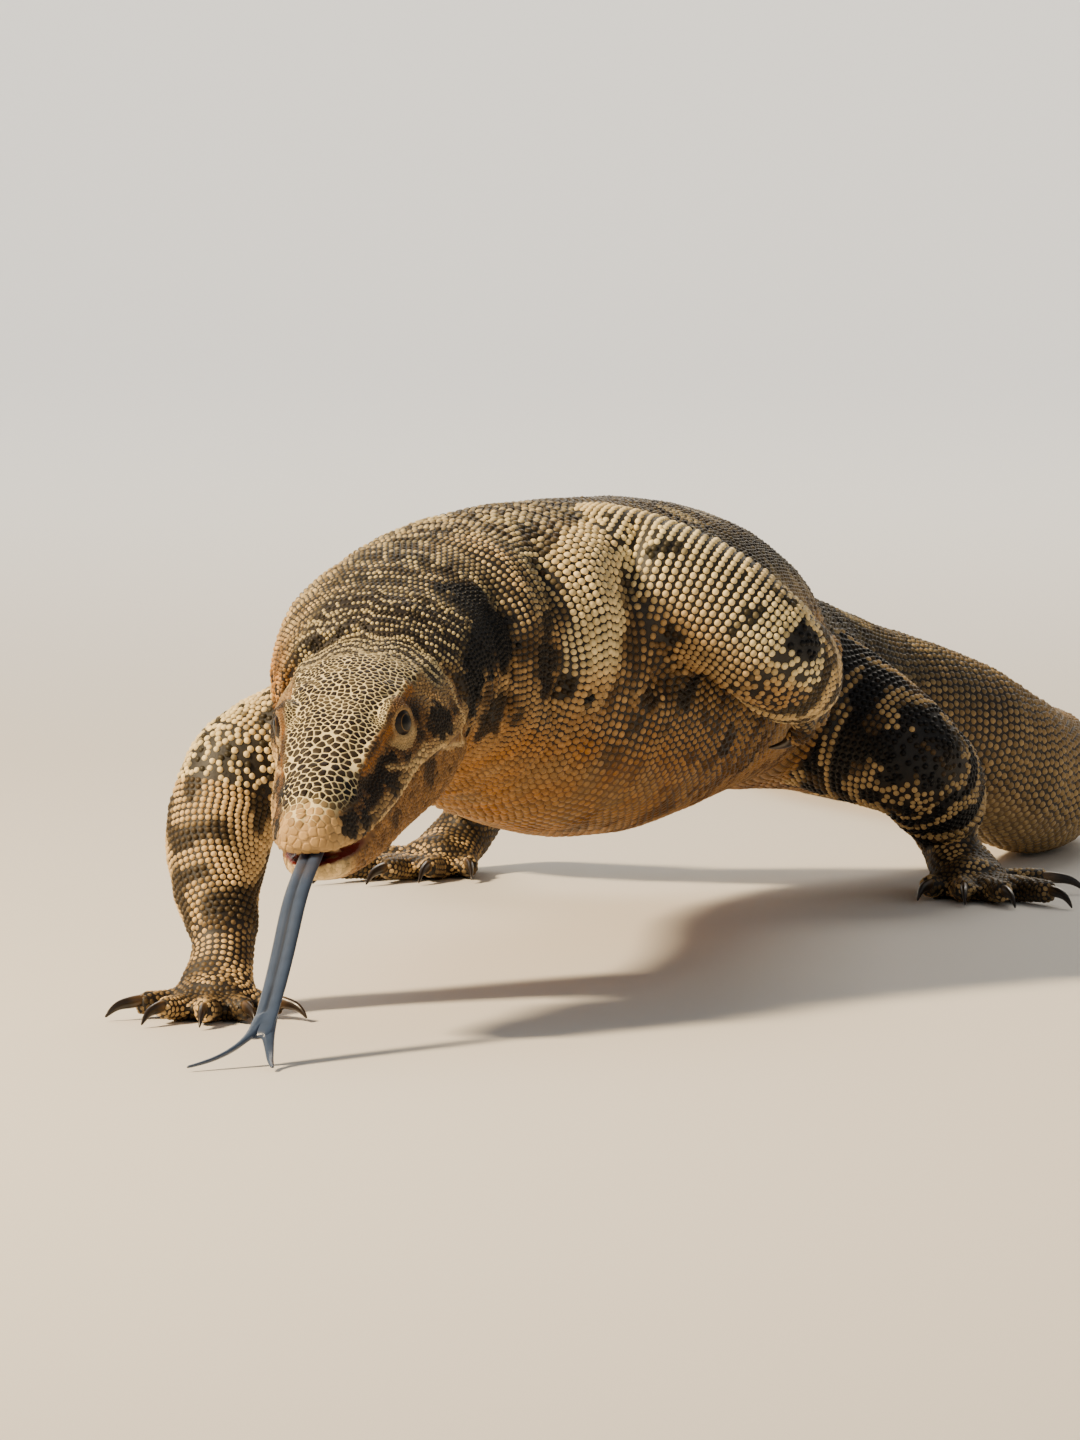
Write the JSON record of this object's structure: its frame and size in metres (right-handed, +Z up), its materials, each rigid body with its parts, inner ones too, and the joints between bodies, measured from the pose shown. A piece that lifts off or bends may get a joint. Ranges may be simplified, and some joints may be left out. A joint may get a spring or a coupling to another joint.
{
  "type": "water monitor lizard model",
  "caption": "Life-size water monitor lizard walking with its head low and forked tongue out, one forelimb lifted, long tail laid on the floor behind it",
  "frame": {"origin": "on the floor, in the middle of the outline seen from above", "axes": "+Z up; -Y is the way the lizard walks, so the snout is at -Y and the tail tip at +Y; +X is the lizard's left side"},
  "size_m": [0.318, 1.4552, 0.146],
  "materials": {
    "pale_skin": "scaly skin, cream and golden brown beads over dark brown",
    "dark_skin": "scaly skin, dark brown with pale rows and spots",
    "eye": "wet glossy",
    "tongue": "moist slate blue",
    "claw": "polished horn"
  },
  "bodies": {
    "root": {"skull": "dark_skin", "lower_jaw": "pale_skin", "tongue": "tongue", "eye_left": "eye", "eye_right": "eye", "neck": "pale_skin", "trunk_front": "pale_skin", "trunk_middle": "dark_skin", "trunk_rear": "dark_skin", "tail_1": "dark_skin", "tail_2": "dark_skin", "tail_3": "dark_skin", "tail_4": "dark_skin", "tail_5": "dark_skin", "upper_arm_right": "pale_skin", "forearm_right": "pale_skin", "hand_right": "pale_skin", "claw_hand_right_1": "claw", "claw_hand_right_2": "claw", "claw_hand_right_3": "claw", "claw_hand_right_4": "claw", "claw_hand_right_5": "claw", "upper_arm_left": "pale_skin", "forearm_left": "pale_skin", "hand_left": "pale_skin", "claw_hand_left_1": "claw", "claw_hand_left_2": "claw", "claw_hand_left_3": "claw", "claw_hand_left_4": "claw", "claw_hand_left_5": "claw", "thigh_left": "pale_skin", "shank_left": "pale_skin", "foot_left": "pale_skin", "claw_foot_left_1": "claw", "claw_foot_left_2": "claw", "claw_foot_left_3": "claw", "claw_foot_left_4": "claw", "claw_foot_left_5": "claw", "thigh_right": "pale_skin", "shank_right": "pale_skin", "foot_right": "pale_skin", "claw_foot_right_1": "claw", "claw_foot_right_2": "claw", "claw_foot_right_3": "claw", "claw_foot_right_4": "claw", "claw_foot_right_5": "claw"}
  },
  "joints": []
}
